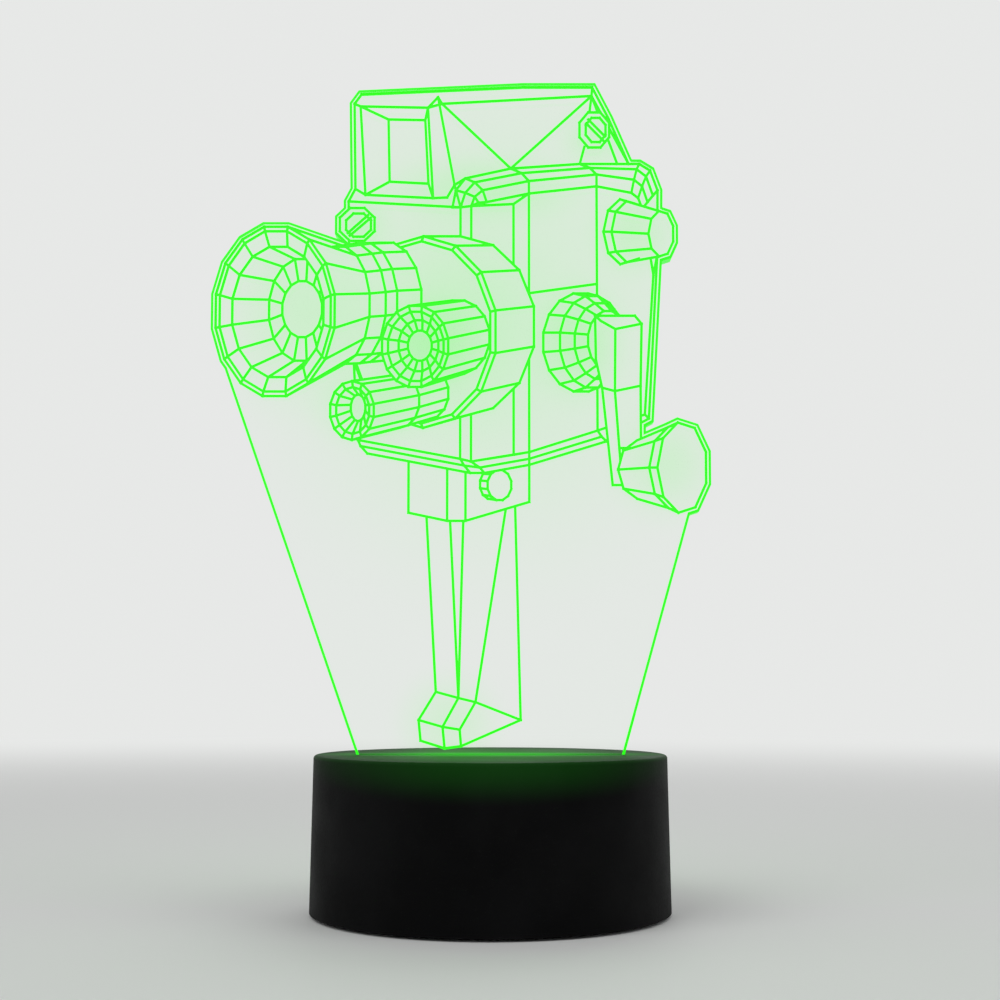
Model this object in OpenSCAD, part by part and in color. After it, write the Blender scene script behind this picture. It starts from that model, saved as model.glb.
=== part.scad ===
/* [Base] */
// Diameter of the round base at its upper edge
base_d = 87; // [86:0.5:96]
// Extra radius of the base at its lower edge
base_draft = 0.8; // [0.2:0.1:1.5]
// Height of the round base without its feet
base_h = 38; // [36:0.5:44]
// Wall of the housing
wall_t = 2.2; // [1.8:0.1:2.6]
// Thickness of the housing's top
top_t = 2.6; // [2:0.1:3.2]
// Radius that rounds the upper edge
edge_r = 0.8; // [0.6:0.1:1.6]

/* [Panel] */
// Height of the clear panel above the base
panel_h = 169; // [150:1:190]
// Thickness of the clear sheet
sheet_t = 4; // [3:0.25:4.5]
// Width of the tab that stands in the base
tab_w = 66; // [60:0.5:67]
// Depth of the tab below the top of the base
tab_depth = 12; // [10:0.5:13]
// Radius of the tab's lower corners
tab_corner_r = 1.5; // [0.5:0.1:2.5]
// Clear margin between the drawn shape and the cut edge
rim_w = 1.3; // [1.2:0.1:1.6]

/* [Engraving] */
// Width of an engraved line
line_w = 0.65; // [0.5:0.05:0.75]
// Width of the line that is cut along the sheet's edge
rim_line_w = 0.65; // [0.5:0.05:0.7]
// Depth of an engraved line
line_depth = 0.4; // [0.2:0.05:0.8]

/* [Slot] */
// Play between the sheet and the slot, on each side
slot_play = 0.2; // [0.15:0.05:0.3]
// Wall of the pocket that holds the tab
pocket_wall = 1.6; // [1.2:0.1:2]
// Width of the ledge under each end of the tab
ledge_w = 3; // [2:0.5:4]
// Thickness of that ledge
ledge_t = 1.1; // [1:0.1:1.4]

/* [Light] */
// Number of light emitting diodes under the panel
led_count = 6; // [4:1:8]
// Length, width and height of one diode
led_size = [3.5, 2.8, 0.8];
// Distance from one diode to the next
led_pitch = 9.6; // [6:0.2:10]
// Length, width and thickness of the light board
led_board_size = [62, 18, 1.2];
// Place of the light board's screws, from the middle
led_screw_at = [24, 6.4];

/* [Batteries] */
// Diameter of one cell
cell_d = 14.5; // [14:0.1:14.5]
// Length of one cell with its pip
cell_l = 50.5; // [50:0.1:50.5]
// Diameter of the pip
pip_d = 5.2; // [4.8:0.1:5.5]
// Length of the pip
pip_h = 1.2; // [1:0.1:1.5]
// Radius that rounds a cell's ends
cell_edge_r = 0.6; // [0.3:0.1:0.8]
// Space between neighbouring cells
cell_gap = 0.5; // [0.3:0.1:0.8]
// Thickness of the contact metal
contact_t = 0.4; // [0.3:0.05:0.5]
// Width of a contact plate
contact_w = 10; // [8:0.5:12]
// Height of the raised button on a contact
contact_pip_h = 0.7; // [0.5:0.1:1]
// Radius of that raised button
contact_pip_r = 2.2; // [1.8:0.1:2.6]
// Height of a pressed leaf spring
leaf_h = 3; // [2.5:0.1:3.5]
// Width of the leaf
leaf_w = 6; // [4:0.5:7]
// Length and width of the solder tag behind a contact
tag_size = [3.4, 3];
// Wall of the battery box
box_wall = 1.5; // [1.2:0.1:1.8]
// Space above the cells
cell_headroom = 0.5; // [0.3:0.1:0.8]

/* [Bottom] */
// Thickness of the bottom cover and of the battery door
cover_t = 2.4; // [2:0.1:3]
// Play around the bottom cover
cover_play = 0.15; // [0.1:0.05:0.3]
// Play around the battery door
door_play = 0.3; // [0.25:0.05:0.4]
// Radius of the door's hinge pins
hinge_r = 0.8; // [0.7:0.05:0.9]
// Length of a hinge pin
hinge_l = 1.6; // [1.2:0.1:2]
// Width, thickness and height of the door's holding tongue
tongue_size = [12, 1, 3];
// Length, width and depth of the finger dip in the door
dip_size = [14, 5, 1];
// Radius of a rubber foot
foot_r = 4; // [3:0.5:5]
// Thickness of a rubber foot
foot_t = 1.6; // [1.4:0.1:2]
// How far a foot stands out below the cover
foot_out = 0.8; // [0.6:0.1:1]
// Direction of a foot from the middle, in degrees from the side
foot_turn = 19; // [15:1:25]
// Space between a foot and the edge of the cover
foot_gap = 0.9; // [0.6:0.1:1.5]

/* [Fastening] */
// Direction of a cover screw from the middle, in degrees from the side
boss_turn = 51.5; // [50.5:0.5:54]
// Space between a cover screw's boss and the edge of the cover
boss_gap = 0.7; // [0.6:0.1:0.9]
// Radius of the bosses for the cover screws
boss_r = 2.8; // [2.6:0.1:3]
// Radius of the smaller bosses for the boards
post_r = 2.2; // [2:0.1:2.4]
// Radius of a screw's shank
shank_r = 1.1; // [1:0.05:1.2]
// Play around a screw's shank in its pilot hole
shank_play = 0.05; // [0.02:0.01:0.08]
// Play around a screw in a clearance hole
hole_play = 0.25; // [0.2:0.05:0.3]
// Radius of a cover screw's head
head_r = 2.1; // [1.9:0.1:2.3]
// Radius of a board screw's head
board_head_r = 1.8; // [1.6:0.1:2]
// Height of a screw head
head_h = 1.4; // [1.2:0.1:1.6]
// Length of a cover screw's shank
cover_screw_l = 9; // [7:0.5:12]
// Length of a board screw's shank
board_screw_l = 5; // [4:0.5:6]
// Length and width of one arm of the cross in a head
cross_size = [2.4, 0.6];
// Depth of the cross in a head
cross_depth = 0.8; // [0.5:0.1:1]

/* [Controls] */
// Length, width and thickness of the control board
board_size = [34, 11, 1.2];
// Space between the control board's corners and the housing
board_gap = 0.15; // [0.1:0.05:0.3]
// Height of the posts that carry the control board
board_post_h = 8; // [7:0.5:9]
// Distance of the control board's screws from its middle
board_screw_x = 2.4; // [2:0.1:3]
// Distance of the socket from the middle line
usb_x = 8; // [7.5:0.5:9]
// Width, length and height of the charging socket
usb_size = [7.6, 5.6, 2.8];
// How far the socket stands out beyond its board
usb_overhang = 3.4; // [3:0.1:3.8]
// Thickness of the socket's sheet metal
usb_t = 0.35; // [0.3:0.05:0.4]
// Radius of the socket's corners
usb_corner_r = 0.9; // [0.6:0.1:1.1]
// Width and thickness of the tongue inside the socket
usb_tongue_size = [4.6, 0.6];
// Length of that tongue in front of its foot
usb_tongue_l = 4; // [3:0.1:4.4]
// Play around the socket in the wall
usb_play = 0.4; // [0.3:0.05:0.6]
// Distance of the button from the middle line
button_x = 8; // [7.5:0.5:9]
// Radius of the push button
button_r = 3.4; // [3:0.1:3.8]
// Radius of the button's collar inside the wall
collar_r = 4.3; // [4:0.1:4.5]
// Thickness of that collar
collar_t = 0.8; // [0.6:0.1:0.8]
// Play around the button
button_play = 0.25; // [0.2:0.05:0.35]
// How far the button stands out from the wall
button_out = 1.1; // [0.8:0.1:1.5]
// Travel of the button
button_travel = 0.6; // [0.4:0.1:0.8]
// Depth of the dish in the button's face
dish_depth = 0.3; // [0.2:0.05:0.4]
// Radius of the dish in the button's face
dish_r = 2.5; // [2:0.1:2.8]
// Width, depth and height of the switch
switch_size = [6.2, 3.6, 6.4];
// Radius of the switch's plunger
plunger_r = 1.7; // [1.4:0.1:1.8]
// Length of the plunger in front of the switch
plunger_l = 1.2; // [1:0.1:1.2]
// Width, length and height of the control chip
chip_size = [5, 4, 1.5];
// Length, width and height of a chip's leg
chip_leg_size = [1, 0.4, 0.3];
// Distance from one leg to the next
chip_leg_pitch = 1.25; // [1:0.05:1.3]
// Width, length and height of a small capacitor
capacitor_size = [2, 1.25, 0.9];
// Width, length and height of a small resistor
resistor_size = [1.6, 0.8, 0.5];
// Distance from one resistor to the next
resistor_pitch = 2.4; // [2:0.1:3]

/* [Leads] */
// Radius of an insulated lead
lead_r = 0.6; // [0.5:0.05:0.65]
// Space between a lead and the wall that it passes
lead_gap = 0.3; // [0.2:0.05:0.4]
// Height of a lead's run above the control board
lead_rise = 1.8; // [1.6:0.1:2.4]

/* [Hidden] */
round_sides = 96;
small_sides = 48;
edge_steps = 5;
percent = 100;
base_z = foot_out;
top_z = base_z + base_h;
ceiling_z = top_z - top_t;
top_r = base_d / 2;
bottom_r = top_r + base_draft;
cover_r = bottom_r - wall_t - cover_play;
foot_at = (cover_r - foot_r - foot_gap) * [cos(foot_turn), sin(foot_turn)];
boss_at = (cover_r - boss_r - boss_gap) * [cos(boss_turn), sin(boss_turn)];
board_back_y = sqrt(pow(top_r - wall_t, 2) - pow(board_size[0] / 2, 2)) - board_gap;
board_y = board_back_y - board_size[1];
tab_z = top_z - tab_depth;
slot_w = tab_w + 2 * slot_play;
slot_t = sheet_t + 2 * slot_play;
pocket_z = tab_z - ledge_t;
led_board_top = pocket_z;
cover_top = base_z + cover_t;
box_floor = cover_top;
box_l = 2 * contact_t + contact_pip_h + cell_l + leaf_h;
cell_pitch = cell_d + cell_gap;
box_w = 3 * cell_pitch;
box_h = cell_d + 2 * cell_headroom;
box_top = box_floor + box_h;
cell_z = box_floor + cell_headroom + cell_d / 2;
door_l = box_l - 2 * door_play;
door_w = box_w - 2 * door_play;
hinge_y = -door_w / 2 + cover_t / 2;
hinge_z = base_z + cover_t / 2;
board_z = cover_top + board_post_h;
board_top = board_z + board_size[2];
usb_front_y = board_back_y + usb_overhang;
button_z = board_top + switch_size[2] / 2;
usb_z = board_top + usb_size[2] / 2;
switch_front_y = board_back_y;
button_back_y = switch_front_y + plunger_l;
button_r_here = bottom_r - base_draft * (button_z - base_z) / base_h;
button_front_y = sqrt(pow(button_r_here, 2) - pow(button_x, 2)) + button_out;
pilot_r = shank_r + shank_play;
hole_r = shank_r + hole_play;
cell_rows = [-1, 0, 1];
bend_share = 1.1;
lead_room = lead_r + lead_gap;
tag_z = cell_z + contact_t;
side_x = box_l / 2 + box_wall + lead_room;
rear_y = box_w / 2 + box_wall + lead_room;
lead_z = board_top + lead_rise;
battery_pad = [board_size[0] / 2 - 3 * board_screw_x, board_y + 2 * lead_r];

// Shapes that are used more than once

// A block that stands on the origin's height and is centred on the other two axes
module mid_box(size) { translate([-size[0] / 2, -size[1] / 2, 0]) cube(size); }

// A bar of the given width and height with rounded edges, which runs from the origin's height for a length
module rounded_bar(w, h, r, l) {
    mid_box([w, h - 2 * r, l]);
    mid_box([w - 2 * r, h, l]);
    for (x = [-1, 1], y = [-1, 1]) translate([x * (w / 2 - r), y * (h / 2 - r), 0])
        cylinder(r = r, h = l, $fn = small_sides);
}

// A screw with its head at the bottom and its shank upwards from the origin
module screw(r, shank_l) {
    difference() {
        union() {
            cylinder(r = shank_r, h = shank_l, $fn = small_sides);
            translate([0, 0, -head_h]) cylinder(r = r, h = head_h, $fn = small_sides);
        }
        for (turn = [0, 90]) rotate(turn)
            translate([0, 0, -2 * head_h + cross_depth]) mid_box([cross_size[0], cross_size[1], head_h]);
    }
}

// A round lead through a list of points
module lead(points) {
    for (i = [0 : len(points) - 2]) {
        step = points[i + 1] - points[i];
        flat = norm([step[0], step[1]]);
        translate(points[i]) rotate([0, atan2(flat, step[2]), atan2(step[1], step[0])])
            cylinder(r = lead_r, h = norm(step), $fn = small_sides);
        if (i > 0) translate(points[i]) sphere(r = lead_r * bend_share, $fn = small_sides);
    }
}

module at_bosses() {
    for (x = [-1, 1], y = [-1, 1]) translate([x * boss_at[0], y * boss_at[1], 0]) children();
}

module at_feet() {
    for (x = [-1, 1], y = [-1, 1]) translate([x * foot_at[0], y * foot_at[1], 0]) children();
}

module at_led_screws() {
    for (side = [-1, 1]) translate([side * led_screw_at[0], side * led_screw_at[1], 0]) children();
}

module at_board_screws() {
    for (side = [-1, 1])
        translate([side * (board_size[0] / 2 - board_screw_x), board_y + board_screw_x, 0]) children();
}

// The drawn figure, in hundredths of the panel's height: sideways from the middle, and up from the base.
// A ring has its centre and its two radii, and a row of rings makes a tube.

// The front lens: its wide hood, the hood's rim, and the hollow inside it
hood_rings_share = [[[-32, 65.5], [9, 13]], [[-22.5, 66.4], [4.6, 9]], [[-20.3, 66.6], [4.8, 9.1]],
    [[-18.8, 66.8], [5, 9.1]], [[-15.5, 67], [5.3, 9]]];
hood_rim_share = [[[-32, 65.5], [8.4, 12.3]], [[-31.6, 65.4], [6.9, 10]]];
hood_mouth_share = [[[-31.6, 65.4], [6.9, 10]], [[-28.2, 65.7], [4.8, 7.8]], [[-28, 65.8], [3, 4.3]]];
// The second lens
middle_rings_share = [[[-11.2, 60.2], [5, 6.2]], [[-4.8, 61.6], [4.7, 5.6]]];
middle_rim_share = [[[-11.1, 60.2], [4.2, 5.3]], [[-10.7, 60.3], [3, 3.9]]];
middle_mouth_share = [[[-10.7, 60.3], [3, 3.9]], [[-10.5, 60.3], [1.8, 2.3]]];
// The third lens, the smallest
lower_rings_share = [[[-20.5, 50.6], [3.3, 4.4]], [[-13.5, 52], [3, 4]], [[-9.2, 53.2], [3, 3.9]]];
lower_rim_share = [[[-20.4, 50.6], [2.5, 3.5]]];
lower_mouth_share = [[[-20.4, 50.6], [2.5, 3.5]], [[-19.6, 51], [1.1, 2]]];
// The round plate that carries the lenses, with a chamfer round its front
turret_rings_share = [[[-10.3, 62.35], [10.5, 13.7]], [[-10, 62.4], [11, 14.4]],
    [[-4.5, 63.2], [11.2, 13.6]]];
// The winding knob, the dial at the side, the crank's handle and the lock under the body
knob_rings_share = [[[19.8, 77.5], [3, 5]], [[20.7, 77.5], [2.7, 4.7]], [[25.4, 77.2], [1.9, 3.5]]];
dial_rings_share = [[[13.4, 60.8], [5.7, 7.5]], [[15, 60.9], [4.8, 7]], [[16.2, 61], [3.8, 5.8]],
    [[17.4, 61.1], [3, 4.5]]];
handle_rings_share = [[[22.2, 41.8], [3.4, 4.4]], [[26.8, 42.1], [3.4, 6.1]], [[28.3, 42.1], [3.7, 6.8]]];
lock_rings_share = [[[0, 39.6], [1.6, 2.2]], [[1.3, 39.5], [1.8, 2.3]]];
// Two screw heads and their slots
left_screw_share = [[[-19.9, 78.6], [2.8, 2.7]], [[-19.7, 78.5], [2, 1.9]]];
right_screw_share = [[[15.5, 93], [2.4, 2.9]], [[15.7, 93], [1.6, 2]]];
left_slot_share = [[-21.3, 77.3], [-18.3, 80], [-21, 76.9], [-17.9, 79.6]];
right_slot_share = [[14.6, 94.6], [17.1, 92], [14.3, 94], [16.8, 91.4]];

// The rounded top of the camera's body, then its front corner, as rows of points
body_top_share = [
    [[-3.8, 85.6], [3, 87.1], [13.3, 87.8], [22.2, 87.8], [23.8, 86.8], [24.9, 83.8]],
    [[-2.4, 85], [4.6, 86.4], [14.8, 87.2], [21.8, 87], [23.2, 85.9], [24.2, 83]],
    [[-1.2, 83.8], [5.7, 85.2], [15.8, 86.2], [21.4, 85.4], [22.6, 84.4], [23.4, 82]],
    [[-0.6, 82], [5.7, 83.3], [15.8, 84.4], [21, 83.4], [22, 82.6], [22.6, 81]]];
body_corner_share = [
    [[-5.7, 81.2], [-5.2, 83.8], [-3.8, 85.6]],
    [[-4.5, 81.2], [-3.8, 83.4], [-2.4, 85]],
    [[-2.9, 81.4], [-2.4, 82.8], [-1.2, 83.8]],
    [[-2.9, 81.4], [-1.8, 81.9], [-0.6, 82]]];
// The flat faces of the body
body_faces_share = [
    [[-21.2, 82.1], [-20.2, 84], [-5.4, 84.6], [-4.5, 81.2]],
    [[-21.2, 82.1], [-4.5, 81.2], [-4.5, 43.4], [-19.6, 46.2], [-21, 70]],
    [[-4.5, 81.2], [-2.9, 81.4], [-2.9, 43], [-4.5, 43.4]],
    [[-2.9, 81.4], [3.4, 81.7], [3.4, 44], [-2.9, 43]],
    [[3.4, 81.7], [5.7, 83.3], [5.7, 44.4], [3.4, 44]],
    [[5.7, 83.3], [15.8, 84.4], [15.8, 69.6], [5.7, 68.2]],
    [[5.7, 68.2], [15.8, 69.6], [15.8, 47.6], [5.7, 44.4]],
    [[-2.9, 81.4], [-0.6, 82], [5.7, 83.3], [3.4, 81.7]],
    [[15.8, 84.4], [21, 83.4], [22, 82.6], [22.6, 81], [24.2, 71], [22.8, 50], [15.8, 47.6]],
    [[22.6, 81], [24.9, 83.8], [24.8, 74], [24.2, 71]],
    [[24.2, 71], [24.8, 74], [23.4, 49.4], [22.8, 50]],
    [[15.8, 47.6], [22.8, 50], [23.4, 49.4], [17.1, 46], [16.4, 46.7]]];
// The rounded lower edge of the body, as rows of points
body_edge_share = [
    [[-19.6, 46.2], [-4.5, 43.4], [-2.9, 43], [5.7, 44.4], [15.8, 47.6]],
    [[-19.2, 45.3], [-3.9, 42.4], [-1.6, 42.1], [5.7, 43.4], [16.4, 46.7]],
    [[-18.2, 44.2], [-3, 41.3], [-0.9, 41.3], [5.7, 42.5], [17.1, 46]]];
// The viewfinder's housing on top of the body, with its window and its loose lines
finder_faces_share = [
    [[-20.4, 97], [-19.4, 98.4], [4.8, 99.5], [15.2, 99.5], [15.1, 98.2], [-7.3, 97], [-9.4, 96.4],
        [-19.5, 96.6]],
    [[-20.4, 97], [-19.5, 96.6], [-18.7, 83.1], [-20.2, 84]],
    [[-19.5, 96.6], [-9.4, 96.4], [-8.6, 82.6], [-18.7, 83.1]],
    [[-9.4, 96.4], [-7.9, 98], [-5.4, 84.6], [-6.5, 82.7], [-8.6, 82.6]],
    [[-7.9, 98], [-7.3, 97], [15.1, 98.2], [20.6, 87.8], [13.3, 87.8], [3, 87.1], [-3.8, 85.6],
        [-5.4, 84.6]],
    [[15.2, 99.5], [17.6, 94.8], [20.6, 87.8], [18.9, 87.8], [15.1, 98.2]]];
window_share = [[-15.3, 94.6], [-9.8, 94.5], [-9.3, 84.8], [-15.1, 85.1]];
window_lines_share = [
    [[-19.5, 96.6], [-15.3, 94.6]], [[-9.4, 96.4], [-9.8, 94.5]],
    [[-8.6, 82.6], [-9.3, 84.8]], [[-18.7, 83.1], [-15.1, 85.1]],
    [[-7.3, 97], [3, 87.1]], [[3, 87.1], [15.1, 98.2]],
    [[15.1, 98.2], [14.8, 95.8]], [[14, 90.4], [13.3, 87.8]]];
// The arm of the crank
arm_faces_share = [
    [[15.5, 64.8], [21.4, 64.8], [22.4, 63.6], [18.5, 62.8], [16.4, 64]],
    [[15.5, 64.8], [16.4, 64], [18.5, 62.8], [18.4, 53.5], [16.5, 54], [15.6, 58.2]],
    [[18.5, 62.8], [22.4, 63.6], [22.2, 54.3], [18.4, 53.5]],
    [[16.5, 54], [18.4, 53.5], [19.4, 39.5], [18, 39.5]],
    [[18.4, 53.5], [22.2, 54.3], [22.2, 45], [19, 45]]];
// The block under the body
block_faces_share = [
    [[-12.1, 45], [-6.4, 43.6], [-6.4, 34.2], [-12.1, 35.4]],
    [[-6.4, 43.6], [-3.7, 43], [-3.7, 34.2], [-6.4, 34.2]],
    [[-3.7, 43], [5.7, 44], [5.7, 37], [-3.7, 34.2]]];
// The leg and its foot
leg_faces_share = [
    [[-9.5, 36], [-6, 35], [-4.7, 8.2], [-8, 9.1]],
    [[-6, 35], [-4, 35], [-4.7, 8.2]],
    [[-4, 35], [2.4, 37], [-2.2, 7.6], [-4.7, 8.2]],
    [[2.4, 37], [3.6, 37], [4.4, 5], [-2.2, 7.6]],
    [[-8, 9.1], [-4.7, 8.2], [-7, 4], [-10.5, 5]],
    [[-4.7, 8.2], [-2.2, 7.6], [-4.5, 3.6], [-7, 4]],
    [[-10.5, 5], [-7, 4], [-6.7, 0.9], [-10.2, 2]],
    [[-7, 4], [-4.5, 3.6], [-4.3, 1.2], [-6.7, 0.9]],
    [[-2.2, 7.6], [4.4, 5], [-4.3, 1.2], [-4.5, 3.6]]];
// The plain sheet below the figure, from the hood and the crank handle down to the base
skirt_share = [[28.8, 36], [22, 47], [22, 60], [-20, 70], [-39.2, 58.5]];
// Sides of each round part of the figure
hood_sides = 16;
middle_sides = 16;
lower_sides = 14;
turret_sides = 14;
knob_sides = 9;
dial_sides = 16;
handle_sides = 9;
lock_sides = 12;
screw_sides = 8;

// Points of a ring, given as its centre and its two radii
function ring(r, sides) =
    [for (i = [0 : sides - 1]) let (a = 180 * (2 * i + 1) / sides)
        r[0] + [r[1][0] * cos(a), r[1][1] * sin(a)]];

// Twice the signed area of a face
function turning(face) = let (n = len(face)) [for (i = [0 : n - 1])
    face[i][0] * face[(i + 1) % n][1] - face[(i + 1) % n][0] * face[i][1]] * [for (i = [0 : n - 1]) 1];

// The four-sided faces between each ring and the next
function band(rings, sides) = [for (k = [0 : len(rings) - 2])
    let (near = ring(rings[k], sides), far = ring(rings[k + 1], sides))
    for (i = [0 : sides - 1]) let (j = (i + 1) % sides) [near[i], near[j], far[j], far[i]]];

// Of a band's faces, those that face the reader when its first ring is the near one
function near_faces(rings, sides) = [for (f = band(rings, sides)) if (turning(f) < 0) f];

// Of a hollow's bands, the faces that are seen from its open end
function hollow_faces(rings, sides) = [for (f = band(rings, sides)) if (turning(f) > 0) f];

// The faces of a grid of points, row by row
function grid(rows) = [for (r = [0 : len(rows) - 2], i = [0 : len(rows[0]) - 2])
    [rows[r][i], rows[r][i + 1], rows[r + 1][i + 1], rows[r + 1][i]]];

function reversed(list) = [for (i = [len(list) - 1 : -1 : 0]) list[i]];

// A lens, as three parts: its outside, the depth of its mouth, and its rim, which covers part of that depth
function lens(rings, rim_rings, mouth_rings, sides) = [
    [concat(near_faces(rings, sides), [ring(rings[0], sides)]), []],
    [concat(hollow_faces(mouth_rings, sides), [ring(mouth_rings[len(mouth_rings) - 1], sides)]), []],
    [hollow_faces(concat([rings[0]], rim_rings), sides), []]];

// A knob whose last ring is the near one
function knob_faces(rings, sides) = concat(near_faces(reversed(rings), sides),
    [ring(rings[len(rings) - 1], sides)]);

// What is drawn, from the farthest part to the nearest: its faces, then its loose lines
figure = concat([
    [leg_faces_share, []],
    [concat(block_faces_share, knob_faces(lock_rings_share, lock_sides)), []],
    [concat(body_faces_share, grid(body_top_share), grid(body_corner_share), grid(body_edge_share)), []],
    [concat(finder_faces_share, [window_share]), window_lines_share],
    [[for (r = right_screw_share) ring(r, screw_sides)],
        [[right_slot_share[0], right_slot_share[1]], [right_slot_share[2], right_slot_share[3]]]],
    [[for (r = left_screw_share) ring(r, screw_sides)],
        [[left_slot_share[0], left_slot_share[1]], [left_slot_share[2], left_slot_share[3]]]],
    [concat(near_faces(turret_rings_share, turret_sides), [ring(turret_rings_share[0], turret_sides)]), []],
    [knob_faces(knob_rings_share, knob_sides), []],
    [knob_faces(dial_rings_share, dial_sides), []],
    [arm_faces_share, []],
    [knob_faces(handle_rings_share, handle_sides), []]],
    lens(lower_rings_share, lower_rim_share, lower_mouth_share, lower_sides),
    lens(hood_rings_share, hood_rim_share, hood_mouth_share, hood_sides),
    lens(middle_rings_share, middle_rim_share, middle_mouth_share, middle_sides));

// The sheet is built from level bands that are joined into one solid
band_count = 18;
sliver_share = 0.09;
sliver_w = line_w * sliver_share;

function placed(points) = points * panel_h / percent;

// One straight line with square ends
module stroke(a, b) {
    along = (b - a) / norm(b - a) * line_w / 2;
    across = [-along[1], along[0]];
    polygon([a - along - across, b + along - across, b + along + across, a - along + across]);
}

module part_fill(part) {
    for (face = part[0]) polygon(placed(face));
}

module part_lines(part) {
    for (face = part[0]) {
        points = placed(face);
        for (i = [0 : len(points) - 1]) {
            next = points[(i + 1) % len(points)];
            if (norm(next - points[i]) > line_w) stroke(points[i], next);
        }
    }
    for (line = part[1]) stroke(placed(line[0]), placed(line[1]));
}

// The figure's first parts: each nearer part covers the lines behind it
module drawn(count) {
    if (count > 0) {
        difference() {
            drawn(count - 1);
            part_fill(figure[count - 1]);
        }
        part_lines(figure[count - 1]);
    }
}

// The height, in whole millimetres, at which a level band of the sheet begins
function band_edge(i) = i == 0 ? -tab_depth - rim_w : round(i * (panel_h + 2 * rim_w) / band_count);

// What is drawn inside one level band
module in_band(i) {
    offset(delta = 0) intersection() {
        translate([-panel_h, band_edge(i)]) square([2 * panel_h, band_edge(i + 1) - band_edge(i)]);
        children();
    }
}

// The line along the sheet's edge, down to the top of the base
module rim_line() {
    intersection() {
        difference() {
            sheet_outline();
            offset(delta = -rim_line_w) sheet_outline();
        }
        translate([-panel_h, 0]) square(2 * panel_h);
    }
}

// Every visible line, without slivers narrower than twice sliver_w
module engraving() {
    offset(delta = sliver_w) offset(delta = -sliver_w) {
        drawn(len(figure));
        rim_line();
    }
}

module figure_outline() {
    for (part = figure) part_fill(part);
    polygon(concat([[-tab_w / 2 + rim_w, 0], [tab_w / 2 - rim_w, 0]], placed(skirt_share)));
}

module tab_outline() {
    offset(r = tab_corner_r, $fn = small_sides) offset(delta = -tab_corner_r)
        translate([-tab_w / 2, -tab_depth]) square([tab_w, tab_depth + 2 * tab_corner_r]);
}

module sheet_outline() {
    offset(delta = rim_w) offset(delta = -rim_w) {
        offset(delta = rim_w) figure_outline();
        tab_outline();
    }
}

// Pieces

module acrylic_panel() {
    color([0.75, 1, 0.75, 0.5]) translate([0, sheet_t / 2, top_z]) rotate([90, 0, 0])
        for (i = [0 : band_count - 1]) difference() {
            linear_extrude(sheet_t) in_band(i) sheet_outline();
            translate([0, 0, sheet_t - line_depth]) linear_extrude(2 * line_depth) in_band(i) engraving();
        }
}

module housing_shell() {
    rotate_extrude($fn = round_sides) polygon(concat(
        [[bottom_r - wall_t, base_z], [bottom_r, base_z]],
        [for (i = [0 : edge_steps]) let (a = 90 * i / edge_steps)
            [top_r - edge_r + edge_r * cos(a), top_z - edge_r + edge_r * sin(a)]],
        [[0, top_z], [0, ceiling_z], [top_r - wall_t, ceiling_z]]));
}

module base_housing() {
    color([0.04, 0.04, 0.045]) difference() {
        union() {
            housing_shell();
            translate([0, 0, pocket_z])
                mid_box([slot_w + 2 * pocket_wall, slot_t + 2 * pocket_wall,
                    ceiling_z - pocket_z + top_t / 2]);
            at_bosses() translate([0, 0, cover_top])
                cylinder(r = boss_r, h = ceiling_z - cover_top + top_t / 2, $fn = small_sides);
            at_led_screws() translate([0, 0, pocket_z])
                cylinder(r = post_r, h = ceiling_z - pocket_z + top_t / 2, $fn = small_sides);
        }
        translate([0, 0, tab_z]) mid_box([slot_w, slot_t, tab_depth + top_t]);
        translate([0, 0, pocket_z - ledge_t]) mid_box([slot_w - 2 * ledge_w, slot_t, 3 * ledge_t]);
        at_bosses() translate([0, 0, cover_top - wall_t])
            cylinder(r = pilot_r, h = cover_screw_l + wall_t, $fn = small_sides);
        at_led_screws() translate([0, 0, pocket_z - wall_t])
            cylinder(r = pilot_r, h = board_screw_l + wall_t, $fn = small_sides);
        translate([button_x, bottom_r - 2 * wall_t - button_out, button_z]) rotate([-90, 0, 0])
            cylinder(r = button_r + button_play, h = 3 * wall_t, $fn = small_sides);
        translate([-usb_x, bottom_r + wall_t, usb_z]) rotate([90, 0, 0])
            rounded_bar(usb_size[0] + 2 * usb_play, usb_size[2] + 2 * usb_play, usb_corner_r + usb_play,
                6 * wall_t);
    }
}

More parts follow.
